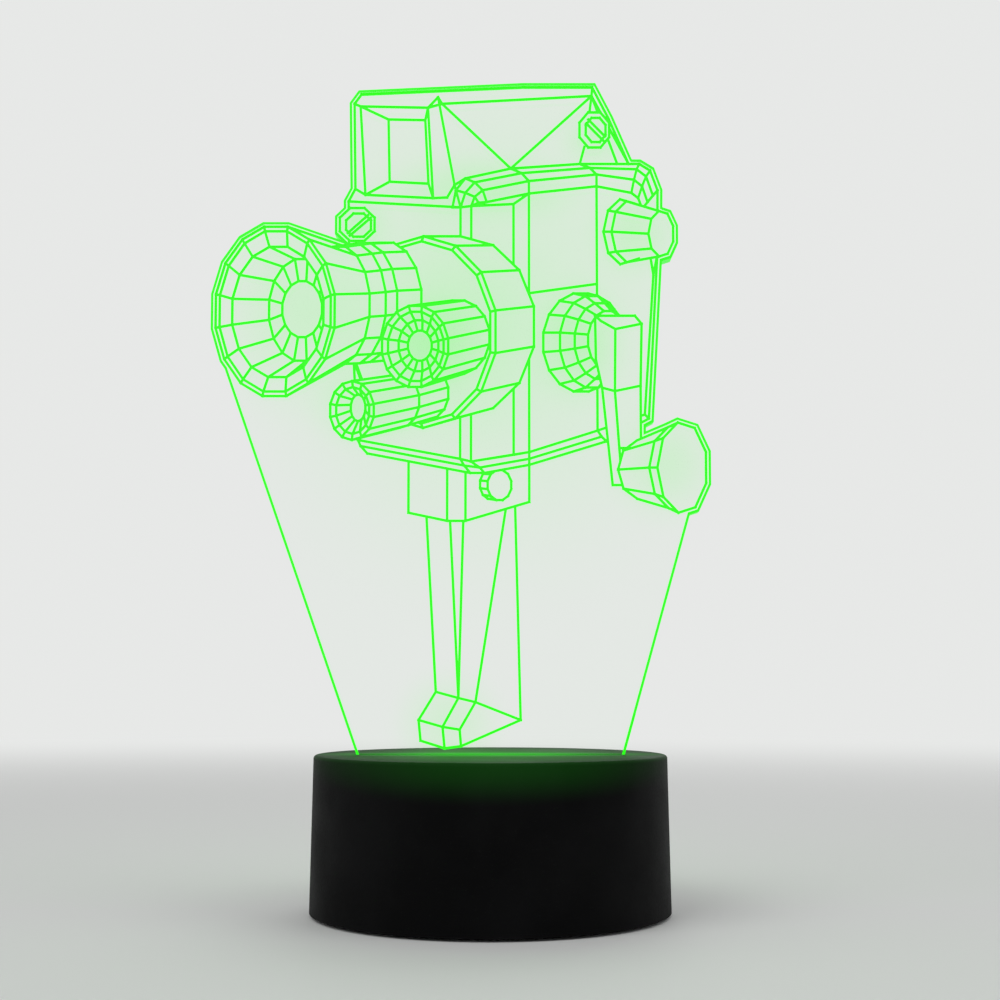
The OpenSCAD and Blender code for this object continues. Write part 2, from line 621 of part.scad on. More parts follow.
module bottom_cover() {
    color([0.05, 0.05, 0.055]) difference() {
        union() {
            translate([0, 0, base_z]) cylinder(r = cover_r, h = cover_t, $fn = round_sides);
            translate([0, 0, base_z])
                mid_box([box_l + 2 * box_wall, box_w + 2 * box_wall, box_top + box_wall - base_z]);
            at_board_screws() translate([0, 0, base_z])
                cylinder(r = post_r, h = board_z - base_z, $fn = small_sides);
        }
        translate([0, 0, base_z - cover_t]) mid_box([box_l, box_w, box_top - base_z + cover_t]);
        for (side = [-1, 1]) {
            translate([side * box_l / 2, hinge_y, hinge_z]) rotate([0, 90, 0])
                cylinder(r = hinge_r + hole_play, h = 2 * (hinge_l + door_play), center = true,
                    $fn = small_sides);
            translate([side * box_l / 2, hinge_y, hinge_z - cover_t])
                mid_box([2 * (hinge_l + door_play), 2 * (hinge_r + hole_play), cover_t]);
        }
        for (side = [-1, 1])
            translate([side * (box_l + box_wall) / 2, side * cell_pitch, cell_z - tag_size[1] / 2])
                mid_box([2 * box_wall, tag_size[1], tag_size[1]]);
        at_bosses() {
            translate([0, 0, base_z - cover_t]) cylinder(r = hole_r, h = 3 * cover_t, $fn = small_sides);
            translate([0, 0, base_z - cover_t])
                cylinder(r = head_r + hole_play, h = cover_t + head_h, $fn = small_sides);
        }
        at_feet() translate([0, 0, base_z - foot_t])
            cylinder(r = foot_r + cover_play, h = 2 * foot_t - foot_out, $fn = small_sides);
        at_board_screws() translate([0, 0, board_z - board_screw_l])
            cylinder(r = pilot_r, h = 2 * board_screw_l, $fn = small_sides);
    }
}

module battery_door() {
    color([0.06, 0.06, 0.065]) {
        difference() {
            union() {
                translate([-door_l / 2, hinge_y, base_z]) cube([door_l, door_w - cover_t / 2, cover_t]);
                translate([-door_l / 2, hinge_y, hinge_z]) rotate([0, 90, 0])
                    cylinder(r = cover_t / 2, h = door_l, $fn = small_sides);
            }
            translate([0, door_w / 2 - dip_size[1], base_z - dip_size[2]])
                mid_box([dip_size[0], dip_size[1], 2 * dip_size[2]]);
        }
        translate([0, (door_w - tongue_size[1]) / 2, base_z + cover_t / 2])
            mid_box([tongue_size[0], tongue_size[1], tongue_size[2] + cover_t / 2]);
        translate([-door_l / 2 - hinge_l, hinge_y, hinge_z]) rotate([0, 90, 0])
            cylinder(r = hinge_r, h = door_l + 2 * hinge_l, $fn = small_sides);
    }
}

module led_board() {
    color([0.93, 0.93, 0.9]) difference() {
        translate([0, 0, led_board_top - led_board_size[2]]) mid_box(led_board_size);
        at_led_screws() translate([0, 0, led_board_top - 2 * led_board_size[2]])
            cylinder(r = hole_r, h = 3 * led_board_size[2], $fn = small_sides);
    }
}

module led_chips() {
    color([1, 0.95, 0.6]) for (i = [0 : led_count - 1])
        translate([(i - (led_count - 1) / 2) * led_pitch, 0, led_board_top]) mid_box(led_size);
}

module led_board_screws() {
    color([0.7, 0.7, 0.72]) at_led_screws()
        translate([0, 0, led_board_top - led_board_size[2]]) screw(board_head_r, board_screw_l);
}

module control_board() {
    color([0.05, 0.35, 0.15]) difference() {
        translate([0, board_y + board_size[1] / 2, board_z]) mid_box(board_size);
        at_board_screws() translate([0, 0, board_z - board_size[2]])
            cylinder(r = hole_r, h = 3 * board_size[2], $fn = small_sides);
    }
}

module control_board_screws() {
    color([0.7, 0.7, 0.72]) at_board_screws()
        translate([0, 0, board_top]) rotate([180, 0, 0]) screw(board_head_r, board_screw_l - board_size[2]);
}

module usb_shell() {
    color([0.75, 0.75, 0.78]) translate([-usb_x, usb_front_y, usb_z]) rotate([90, 0, 0]) difference() {
        rounded_bar(usb_size[0], usb_size[2], usb_corner_r, usb_size[1]);
        translate([0, 0, -usb_t])
            rounded_bar(usb_size[0] - 2 * usb_t, usb_size[2] - 2 * usb_t, usb_corner_r - usb_t, usb_size[1]);
    }
}

module usb_tongue() {
    back_l = usb_size[1] - usb_tongue_l - usb_t;
    color([0.1, 0.1, 0.1]) translate([-usb_x, usb_front_y - usb_size[1] + usb_t, usb_z]) {
        translate([-usb_tongue_size[0] / 2, 0, -usb_size[2] / 2 + usb_t])
            cube([usb_tongue_size[0], back_l / 2, usb_size[2] - 2 * usb_t]);
        translate([-usb_tongue_size[0] / 2, 0, 0])
            cube([usb_tongue_size[0], usb_tongue_l, usb_tongue_size[1]]);
    }
}

module switch_body() {
    color([0.12, 0.12, 0.13]) difference() {
        translate([button_x, switch_front_y - switch_size[1] / 2, board_top]) mid_box(switch_size);
        translate([button_x, switch_front_y - button_travel - button_play, button_z]) rotate([-90, 0, 0])
            cylinder(r = plunger_r + shank_play, h = 2 * switch_size[1], $fn = small_sides);
    }
}

module switch_plunger() {
    color([0.85, 0.85, 0.82]) translate([button_x, switch_front_y, button_z]) rotate([-90, 0, 0])
        cylinder(r = plunger_r, h = plunger_l, $fn = small_sides);
}

module power_button() {
    color([0.09, 0.09, 0.1]) translate([button_x, button_back_y, button_z]) rotate([-90, 0, 0]) difference() {
        union() {
            cylinder(r = button_r, h = button_front_y - button_back_y, $fn = small_sides);
            cylinder(r = collar_r, h = collar_t, $fn = small_sides);
        }
        translate([0, 0, button_front_y - button_back_y - dish_depth])
            cylinder(r1 = dish_r - dish_depth, r2 = dish_r + dish_depth, h = 2 * dish_depth,
                $fn = small_sides);
    }
}

module control_chip() {
    color([0.08, 0.08, 0.09]) translate([0, board_y + board_size[1] / 2, board_top]) {
        translate([0, 0, chip_leg_size[2] / 2])
            mid_box([chip_size[0], chip_size[1], chip_size[2] - chip_leg_size[2] / 2]);
        for (side = [-1, 1], i = [-3, -1, 1, 3])
            translate([i * chip_leg_pitch / 2, side * (chip_size[1] + chip_leg_size[0] / 2) / 2, 0])
                mid_box([chip_leg_size[1], chip_leg_size[0], chip_leg_size[2]]);
    }
}

module board_capacitors() {
    color([0.6, 0.45, 0.3]) for (side = [-1, 1])
        translate([side * chip_size[0], board_y + 2 * capacitor_size[1], board_top])
            mid_box(capacitor_size);
}

module board_resistors() {
    color([0.07, 0.07, 0.07]) for (i = [-1 : 1])
        translate([i * resistor_pitch, board_back_y - resistor_size[1], board_top])
            mid_box(resistor_size);
}

// A cell with its plain end at the origin and its pip towards +X
module cell() {
    color([0.12, 0.3, 0.2]) rotate([0, 90, 0]) rotate_extrude($fn = round_sides) polygon([
        [0, 0], [cell_d / 2 - cell_edge_r, 0], [cell_d / 2, cell_edge_r],
        [cell_d / 2, cell_l - pip_h - cell_edge_r], [cell_d / 2 - cell_edge_r, cell_l - pip_h],
        [pip_d / 2, cell_l - pip_h], [pip_d / 2, cell_l], [0, cell_l]]);
}

module battery_cell(row) {
    side = row == 0 ? -1 : 1;
    translate([side * (-box_l / 2 + contact_t + leaf_h), row * cell_pitch, cell_z])
        rotate(side > 0 ? 0 : 180) cell();
}

// A flat contact plate on the end wall of the box, with a raised button or a leaf
module contact_plate(w) { translate([0, -w / 2, -contact_w / 2]) cube([contact_t, w, contact_w]); }

module contact_pip() {
    rotate([0, 90, 0]) cylinder(r = contact_pip_r, h = contact_t + contact_pip_h, $fn = small_sides);
}

module contact_leaf() {
    bow_r = (pow(contact_w / 2, 2) + pow(leaf_h, 2)) / (2 * leaf_h);
    half = asin(contact_w / 2 / bow_r);
    turns = [for (i = [-edge_steps : edge_steps]) half * i / edge_steps];
    translate([contact_t + leaf_h - bow_r, leaf_w / 2, 0]) rotate([90, 0, 0]) linear_extrude(leaf_w)
        polygon(concat([for (a = turns) bow_r * [cos(a), sin(a)]],
            [for (a = reversed(turns)) (bow_r - contact_t) * [cos(a), sin(a)]]));
}

module contact_tag() {
    translate([-tag_size[0], -tag_size[1] / 2, 0]) cube([tag_size[0] + contact_t, tag_size[1], contact_t]);
}

module positive_contact() {
    color([0.8, 0.8, 0.82]) translate([box_l / 2, cell_pitch, cell_z]) rotate(180) {
        contact_plate(contact_w);
        contact_pip();
        contact_tag();
    }
}

module negative_contact() {
    color([0.8, 0.8, 0.82]) translate([-box_l / 2, -cell_pitch, cell_z]) {
        contact_plate(contact_w);
        contact_leaf();
        contact_tag();
    }
}

module bridge_contact() {
    contact_plate(cell_pitch + contact_w);
    translate([0, -cell_pitch / 2, 0]) contact_pip();
    translate([0, cell_pitch / 2, 0]) contact_leaf();
}

module right_bridge_contact() {
    color([0.8, 0.8, 0.82]) translate([box_l / 2, -cell_pitch / 2, cell_z])
        mirror([1, 0, 0]) bridge_contact();
}

module left_bridge_contact() {
    color([0.8, 0.8, 0.82]) translate([-box_l / 2, cell_pitch / 2, cell_z]) bridge_contact();
}

module cover_screws() {
    color([0.35, 0.35, 0.37]) at_bosses() translate([0, 0, base_z + head_h]) screw(head_r, cover_screw_l);
}

module rubber_feet() {
    color([0.15, 0.15, 0.15]) at_feet() cylinder(r = foot_r, h = foot_t, $fn = small_sides);
}

// The path of a battery lead, from its contact's tag round the box to the board
function battery_path(side, from_y) = [
    [side * (side_x + lead_room), from_y, tag_z + lead_r],
    [side * (side_x + lead_room), rear_y, tag_z + lead_r],
    [side * (box_l / 2 - lead_room), rear_y, lead_z],
    [side * (battery_pad[0] + lead_room), rear_y, lead_z],
    [side * battery_pad[0], battery_pad[1], lead_z],
    [side * battery_pad[0], battery_pad[1], board_top]];

// The path of a lead from the light board, over the battery box and down to the control board
function led_path(side) = [
    [side * 2 * lead_r, led_board_size[1] / 2 - 2 * lead_r, led_board_top - led_board_size[2]],
    [side * 2 * lead_r, led_board_size[1] / 2 - 2 * lead_r, box_top + box_wall + 2 * lead_r],
    [side * 2 * lead_r, battery_pad[1], box_top + box_wall + 2 * lead_r],
    [side * 2 * lead_r, battery_pad[1], board_top]];

module battery_lead_red() { color([0.8, 0.05, 0.05]) lead(battery_path(1, cell_pitch)); }
module battery_lead_black() { color([0.05, 0.05, 0.05]) lead(battery_path(-1, -cell_pitch)); }
module led_lead_red() { color([0.8, 0.05, 0.05]) lead(led_path(1)); }
module led_lead_black() { color([0.05, 0.05, 0.05]) lead(led_path(-1)); }

base_housing();
acrylic_panel();
bottom_cover();
battery_door();
led_board();
led_chips();
led_board_screws();
control_board();
control_chip();
board_capacitors();
board_resistors();
usb_shell();
usb_tongue();
switch_body();
switch_plunger();
power_button();
control_board_screws();
battery_cell(cell_rows[0]);  // battery_cell_1
battery_cell(cell_rows[1]);  // battery_cell_2
battery_cell(cell_rows[2]);  // battery_cell_3
positive_contact();
negative_contact();
right_bridge_contact();
left_bridge_contact();
battery_lead_red();
battery_lead_black();
led_lead_red();
led_lead_black();
cover_screws();
rubber_feet();
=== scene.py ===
import math

import bpy
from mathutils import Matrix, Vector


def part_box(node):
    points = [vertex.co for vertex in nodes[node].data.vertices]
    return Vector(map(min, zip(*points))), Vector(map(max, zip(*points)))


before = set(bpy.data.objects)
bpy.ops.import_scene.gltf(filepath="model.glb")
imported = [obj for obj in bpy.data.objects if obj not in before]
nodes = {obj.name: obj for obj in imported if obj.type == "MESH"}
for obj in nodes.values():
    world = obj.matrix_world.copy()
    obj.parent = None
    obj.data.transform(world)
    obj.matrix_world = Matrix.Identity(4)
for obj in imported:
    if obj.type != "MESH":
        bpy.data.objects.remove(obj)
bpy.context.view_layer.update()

# Places on the lamp in metres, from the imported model
sheet_low, sheet_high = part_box("acrylic_panel")
base_low, base_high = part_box("base_housing")
base_top = base_high.z
base_radius = (base_high.x - base_low.x) / 2
drawing_height = sheet_high.z - base_top
groove_depth = 0.0004
groove_floor_y = sheet_low.y + groove_depth

# Colours that more than one piece uses
black = (0, 0, 0, 1)
lit_green = (0.022, 0.93, 0.004, 1)
lit_green_at_grains = (0.031, 0.93, 0.0064, 1)
lit_green_in_lines = (0.012, 0.52, 0.003, 1)
pale_studio = (0.80, 0.81, 0.80, 1)

FLOAT, COLOUR, VECTOR = "NodeSocketFloat", "NodeSocketColor", "NodeSocketVector"


# Node helpers

def add(tree, kind, inputs=None, **settings):
    """A node of that kind, with its settings and its input values."""
    node = tree.nodes.new(kind)
    for name, value in settings.items():
        setattr(node, name, value)
    for name, value in (inputs or {}).items():
        node.inputs[name].default_value = value
    return node


def join(tree, *pairs):
    """Links each output to the input that is paired with it."""
    for out, into in pairs:
        tree.links.new(out, into)


def feed(tree, socket, value):
    """Links an output to a socket, or sets a plain value on it."""
    if isinstance(value, (int, float, tuple)):
        socket.default_value = value
    else:
        tree.links.new(value, socket)


def calculate(tree, operation, a, b=None, clamp=False):
    """The output of a Math node whose inputs are other outputs or plain numbers."""
    node = add(tree, "ShaderNodeMath", operation=operation, use_clamp=clamp)
    feed(tree, node.inputs[0], a)
    if b is not None:
        feed(tree, node.inputs[1], b)
    return node.outputs[0]


def vary(tree, base, noise, amount):
    """A base value that noise moves up and down by up to half the amount."""
    offset = calculate(tree, "MULTIPLY", calculate(tree, "SUBTRACT", noise, 0.5), amount)
    return calculate(tree, "ADD", base, offset, clamp=True)


def patches_above(tree, noise, start, steepness):
    """Patches where noise lies above a start value, which rise to one at the given steepness."""
    return calculate(tree, "MULTIPLY", calculate(tree, "SUBTRACT", noise, start), steepness, clamp=True)


def mix_colours(tree, factor, first, second):
    """The output of a Mix node for two colours, each an output or a plain colour."""
    node = add(tree, "ShaderNodeMix", data_type="RGBA")
    for name, value in (("Factor", factor), ("A", first), ("B", second)):
        feed(tree, next(s for s in node.inputs if s.name == name and s.enabled), value)
    return next(s for s in node.outputs if s.enabled)


def object_place(tree):
    """The place on the piece, in metres."""
    return add(tree, "ShaderNodeTexCoord").outputs["Object"]


def surface_input(tree):
    """The input that a material's shader goes into."""
    return tree.nodes["Material Output"].inputs["Surface"]


def new_group(name, inputs, outputs):
    """A node group: its tree, its input node and its output node."""
    tree = bpy.data.node_groups.new(name, "ShaderNodeTree")
    for label, kind, value in inputs:
        socket = tree.interface.new_socket(label, in_out="INPUT", socket_type=kind)
        socket.default_value = value
    for label, kind in outputs:
        tree.interface.new_socket(label, in_out="OUTPUT", socket_type=kind)
    given = tree.nodes.new("NodeGroupInput")
    result = tree.nodes.new("NodeGroupOutput")
    return tree, given.outputs, result.inputs


# Effects that several materials share

SKIN_OUTPUTS = [("Colour", COLOUR), ("Roughness", FLOAT), ("Height", FLOAT)]


def make_moulded_skin():
    """Moulded plastic or rubber: an eroded grain, and patches that hands have polished."""
    tree, given, result = new_group(
        "moulded skin",
        [("Colour", COLOUR, (0.02, 0.02, 0.02, 1)),
         ("Handled Colour", COLOUR, (0.03, 0.03, 0.03, 1)),
         ("Roughness", FLOAT, 0.5),
         ("Grain Scale", FLOAT, 2500.0),
         ("Patch Scale", FLOAT, 45.0)],
        SKIN_OUTPUTS)
    place = object_place(tree)
    grain = add(tree, "ShaderNodeTexNoise", {"Detail": 3.0, "Roughness": 0.6})
    pits = add(tree, "ShaderNodeTexVoronoi", feature="SMOOTH_F1")
    patches = add(tree, "ShaderNodeTexNoise", {"Detail": 4.0, "Roughness": 0.55})
    join(tree,
         (place, grain.inputs["Vector"]),
         (place, pits.inputs["Vector"]),
         (place, patches.inputs["Vector"]),
         (given["Grain Scale"], grain.inputs["Scale"]),
         (given["Patch Scale"], patches.inputs["Scale"]))
    pits_to_grain = 0.6
    feed(tree, pits.inputs["Scale"], calculate(tree, "MULTIPLY", given["Grain Scale"], pits_to_grain))
    patch = patches_above(tree, patches.outputs["Fac"], start=0.42, steepness=4.0)
    gloss_of_hands = -0.09
    polished = calculate(tree, "ADD", given["Roughness"],
                         calculate(tree, "MULTIPLY", patch, gloss_of_hands))
    rough = vary(tree, polished, grain.outputs["Fac"], amount=0.25)
    height = calculate(tree, "ADD", grain.outputs["Fac"], pits.outputs["Distance"])
    join(tree,
         (mix_colours(tree, patch, given["Colour"], given["Handled Colour"]), result["Colour"]),
         (rough, result["Roughness"]),
         (height, result["Height"]))
    return tree


def make_worked_metal():
    """Rolled or drawn metal: fine lines along it, and faint tarnish in patches."""
    tree, given, result = new_group(
        "worked metal",
        [("Colour", COLOUR, (0.7, 0.7, 0.72, 1)),
         ("Tarnish Colour", COLOUR, (0.45, 0.43, 0.4, 1)),
         ("Roughness", FLOAT, 0.3),
         ("Line Scale", FLOAT, 900.0),
         ("Stretch", VECTOR, (1.0, 0.06, 1.0))],
        SKIN_OUTPUTS)
    place = object_place(tree)
    stretch = add(tree, "ShaderNodeVectorMath", operation="MULTIPLY")
    lines = add(tree, "ShaderNodeTexNoise", {"Detail": 4.0, "Roughness": 0.7})
    tarnish = add(tree, "ShaderNodeTexNoise", {"Scale": 260.0, "Detail": 5.0})
    join(tree,
         (place, stretch.inputs[0]),
         (given["Stretch"], stretch.inputs[1]),
         (stretch.outputs[0], lines.inputs["Vector"]),
         (given["Line Scale"], lines.inputs["Scale"]),
         (place, tarnish.inputs["Vector"]))
    patch = patches_above(tree, tarnish.outputs["Fac"], start=0.5, steepness=3.0)
    dullness_of_tarnish = 0.15
    dulled = calculate(tree, "ADD", given["Roughness"],
                       calculate(tree, "MULTIPLY", patch, dullness_of_tarnish))
    rough = vary(tree, dulled, lines.outputs["Fac"], amount=0.3)
    join(tree,
         (mix_colours(tree, patch, given["Colour"], given["Tarnish Colour"]), result["Colour"]),
         (rough, result["Roughness"]),
         (lines.outputs["Fac"], result["Height"]))
    return tree


def make_board_coating():
    """A circuit board's coating over its copper tracks, which show as raised, paler runs."""
    tree, given, result = new_group(
        "board coating",
        [("Coating", COLOUR, (0.03, 0.25, 0.1, 1)),
         ("Track Colour", COLOUR, (0.06, 0.36, 0.16, 1)),
         ("Roughness", FLOAT, 0.35),
         ("Track Scale", FLOAT, 330.0)],
        SKIN_OUTPUTS)
    place = object_place(tree)
    tracks = add(tree, "ShaderNodeTexBrick",
                 {"Color1": black, "Color2": black, "Mortar": (1, 1, 1, 1), "Mortar Size": 0.04,
                  "Mortar Smooth": 0.2, "Brick Width": 1.7, "Row Height": 0.42},
                 offset=0.37, squash=0.6, squash_frequency=3)
    film = add(tree, "ShaderNodeTexNoise", {"Scale": 700.0, "Detail": 3.0})
    join(tree,
         (place, tracks.inputs["Vector"]),
         (given["Track Scale"], tracks.inputs["Scale"]),
         (place, film.inputs["Vector"]))
    colour = mix_colours(tree, tracks.outputs["Color"], given["Coating"], given["Track Colour"])
    rough = vary(tree, given["Roughness"], film.outputs["Fac"], amount=0.2)
    film_to_tracks = 0.2
    film_relief = calculate(tree, "MULTIPLY", film.outputs["Fac"], film_to_tracks)
    height = calculate(tree, "ADD", tracks.outputs["Fac"], film_relief)
    join(tree,
         (colour, result["Colour"]),
         (rough, result["Roughness"]),
         (height, result["Height"]))
    return tree


def make_soft_spot():
    """A soft round patch of light: brightest at its centre and dark at its reach along each axis."""
    tree, given, result = new_group(
        "soft spot of light",
        [("Centre", VECTOR, (0.0, 0.0, 0.0)),
         ("Reach", VECTOR, (0.02, 0.02, 0.02)),
         ("Brightness", FLOAT, 1.0)],
        [("Light", FLOAT)])
    offset = add(tree, "ShaderNodeVectorMath", operation="SUBTRACT")
    scaled = add(tree, "ShaderNodeVectorMath", operation="DIVIDE")
    distance = add(tree, "ShaderNodeVectorMath", operation="LENGTH")
    join(tree,
         (object_place(tree), offset.inputs[0]),
         (given["Centre"], offset.inputs[1]),
         (offset.outputs[0], scaled.inputs[0]),
         (given["Reach"], scaled.inputs[1]),
         (scaled.outputs[0], distance.inputs[0]))
    fade = add(tree, "ShaderNodeMapRange", {"From Min": 1.0, "From Max": 0.0},
               interpolation_type="SMOOTHSTEP")
    join(tree, (distance.outputs["Value"], fade.inputs["Value"]))
    join(tree, (calculate(tree, "MULTIPLY", fade.outputs[0], given["Brightness"]), result["Light"]))
    return tree


moulded_skin = make_moulded_skin()
worked_metal = make_worked_metal()
board_coating = make_board_coating()
soft_spot = make_soft_spot()


# Materials

def new_material(name, **sockets):
    """A material, its tree and its Principled shader, with plain values on the shader's own sockets."""
    material = bpy.data.materials.new(name)
    material.use_nodes = True
    tree = material.node_tree
    shader = tree.nodes["Principled BSDF"]
    for label, value in sockets.items():
        shader.inputs[label.replace("_", " ")].default_value = value
    return material, tree, shader


def place_group(tree, group, **values):
    """A node that uses a node group, with plain values on the group's inputs."""
    node = tree.nodes.new("ShaderNodeGroup")
    node.node_tree = group
    for label, value in values.items():
        node.inputs[label.replace("_", " ")].default_value = value
    return node


def dress(tree, shader, effect, strength, distance):
    """Feeds the shader from an effect's colour and roughness, and from its height as a bump in metres."""
    bump = add(tree, "ShaderNodeBump", {"Strength": strength, "Distance": distance})
    join(tree,
         (effect.outputs["Colour"], shader.inputs["Base Color"]),
         (effect.outputs["Roughness"], shader.inputs["Roughness"]),
         (effect.outputs["Height"], bump.inputs["Height"]),
         (bump.outputs["Normal"], shader.inputs["Normal"]))


def moulded(name, colour, handled, roughness, grain=2500.0, patch=45.0, relief=0.25, **sockets):
    """Moulded plastic or rubber, with its own colour and its colour where hands have polished it."""
    material, tree, shader = new_material(name, **sockets)
    skin = place_group(tree, moulded_skin, Colour=(*colour, 1), Handled_Colour=(*handled, 1),
                       Roughness=roughness, Grain_Scale=grain, Patch_Scale=patch)
    dress(tree, shader, skin, strength=relief, distance=0.00005)
    return material


def metal(name, colour, tarnish, roughness, stretch=(1.0, 0.06, 1.0), relief=0.15):
    """Worked metal and its tarnish. The lines run along the axis that has the smallest stretch."""
    material, tree, shader = new_material(name, Metallic=1.0)
    skin = place_group(tree, worked_metal, Colour=(*colour, 1), Tarnish_Colour=(*tarnish, 1),
                       Roughness=roughness, Stretch=stretch)
    dress(tree, shader, skin, strength=relief, distance=0.00003)
    return material


def board(name, coating, track, roughness):
    """A coated circuit board, with the colours of its coating and of its tracks."""
    material, tree, shader = new_material(name, Coat_Weight=0.3, Coat_Roughness=0.15)
    skin = place_group(tree, board_coating, Coating=(*coating, 1), Track_Colour=(*track, 1),
                       Roughness=roughness)
    dress(tree, shader, skin, strength=0.4, distance=0.00006)
    return material


def total_light(tree, spots):
    """The sum of soft spots, up to one. Each is given by its centre, its reach and its brightness."""
    total = 0.0
    for centre, reach, brightness in spots:
        spot = place_group(tree, soft_spot, Centre=centre, Reach=reach, Brightness=brightness)
        total = calculate(tree, "ADD", total, spot.outputs["Light"])
    return calculate(tree, "MINIMUM", total, 1.0)


def make_housing_plastic():
    """Satin black plastic with the green light that leaves the slot painted on its top and upper side as
    a glow.
    """
    material = moulded("satin black housing plastic", (0.0022, 0.0022, 0.0024), (0.004, 0.004, 0.0043),
                       roughness=0.62, grain=2200.0, relief=0.3,
                       Specular_IOR_Level=0.04, Emission_Strength=1.0)
    tree = material.node_tree
    # Painted light: the green light from the slot, painted as emission in soft spots over the top, at the
    # slot and down the side
    middle = (0.0, 0.0, base_top)
    over_the_top = (1.40 * base_radius, 1.13 * base_radius, 0.036 * base_radius)
    at_the_slot = (1.17 * base_radius, 0.36 * base_radius, 0.09 * base_radius)
    down_the_side = (1.17 * base_radius, 1.76 * base_radius, 0.27 * base_radius)
    light = total_light(tree, [(middle, over_the_top, 0.12),
                               (middle, at_the_slot, 0.40),
                               (middle, down_the_side, 0.10)])
    painted_slot_glow = (0.02, 0.75, 0.006, 1)
    glow = mix_colours(tree, light, black, painted_slot_glow)
    join(tree, (glow, tree.nodes["Principled BSDF"].inputs["Emission Color"]))
    return material


# Where the drawing's lines lie close together: the place and the reach of each such part, sideways from
# the middle and up from the base, in hundredths of the drawing's height, and how bright the painted green
# glow is there
dense_parts = {
    "hood": ((-29, 66), (17, 20), 0.20),
    "second lens": ((-9.5, 60.5), (11, 10), 0.20),
    "third lens": ((-18, 51), (11, 8), 0.20),
    "lens plate": ((-7, 62), (22, 22), 0.15),
    "side dial": ((13, 61), (9, 12), 0.25),
    "winding knob": ((21.5, 77.5), (9, 9), 0.20),
    "crank handle": ((26, 42.5), (11, 11), 0.20),
    "rounded top": ((-1, 84), (20, 7), 0.20),
    "left screw": ((-20, 79), (7, 7), 0.20),
    "right screw": ((15.6, 92), (7, 7), 0.20),
    "foot": ((-6, 4.5), (10, 10), 0.20),
    "whole drawing": ((0, 66), (46, 52), 0.20)}


def make_clear_sheet():
    """Polished clear acrylic, with a faint green glow painted in as emission and as a green tint where
    engraved lines lie close together.
    """
    material, tree, shader = new_material("polished clear acrylic", Roughness=0.015, IOR=1.49,
                                          Transmission_Weight=1.0, Emission_Strength=0.5)
    unit = drawing_height / 100
    # So deep that the painted glow hardly changes through the sheet
    through = 10 * (sheet_high.y - sheet_low.y)
    spots = []
    for (across, up), (wide, high), light in dense_parts.values():
        centre = (across * unit, 0.0, base_top + up * unit)
        spots.append((centre, (wide * unit, through, high * unit), light))
    # Painted light: a green glow as emission, and a green tint of the acrylic's colour, where the lines
    # lie close
    painted_glow = total_light(tree, spots)
    almost_clear = (0.97, 1.0, 0.97, 1)
    painted_green_tint = (0.16, 0.85, 0.13, 1)
    painted_green_glow = (0.02, 0.3, 0.01, 1)
    join(tree,
         (mix_colours(tree, painted_glow, black, painted_green_glow), shader.inputs["Emission Color"]),
         (mix_colours(tree, painted_glow, almost_clear, painted_green_tint), shader.inputs["Base Color"]))
    let_light_through(tree, shader)
    return material


def let_light_through(tree, shader):
    """Lets lamps shine through clear acrylic as if it weren't there."""
    clear = add(tree, "ShaderNodeBsdfTransparent")
    path = add(tree, "ShaderNodeLightPath")
    mix = add(tree, "ShaderNodeMixShader")
    join(tree,
         (path.outputs["Is Shadow Ray"], mix.inputs["Fac"]),
         (shader.outputs[0], mix.inputs[1]),
         (clear.outputs[0], mix.inputs[2]),
         (mix.outputs[0], surface_input(tree)))


def make_lit_groove():
    """The frosted floor and walls of an engraved groove, lit from inside the sheet."""
    material, tree, shader = new_material("lit engraved groove", Emission_Strength=1.0)
    frost = (0.01, 0.25, 0.01, 1)
    skin = place_group(tree, moulded_skin, Colour=frost, Handled_Colour=frost,
                       Roughness=0.6, Grain_Scale=5200.0, Patch_Scale=120.0)
    dress(tree, shader, skin, strength=0.4, distance=0.00004)
    share_of_grain = 0.25
    tone = calculate(tree, "MULTIPLY", skin.outputs["Height"], share_of_grain, clamp=True)
    join(tree, (mix_colours(tree, tone, lit_green, lit_green_at_grains), shader.inputs["Emission Color"]))
    return material


def make_lit_edge():
    """The sheet's cut edge, lit from inside, with the fine lines that a laser leaves across it."""
    material, tree, shader = new_material("lit cut edge", Emission_Strength=0.95)
    skin = place_group(tree, worked_metal, Colour=(0.02, 0.3, 0.02, 1),
                       Tarnish_Colour=(0.03, 0.36, 0.03, 1),
                       Roughness=0.35, Line_Scale=1400.0, Stretch=(1.0, 0.04, 1.0))
    dress(tree, shader, skin, strength=0.3, distance=0.00004)
    line = patches_above(tree, skin.outputs["Height"], start=0.38, steepness=4.0)
    join(tree, (mix_colours(tree, line, lit_green_in_lines, lit_green), shader.inputs["Emission Color"]))
    return material


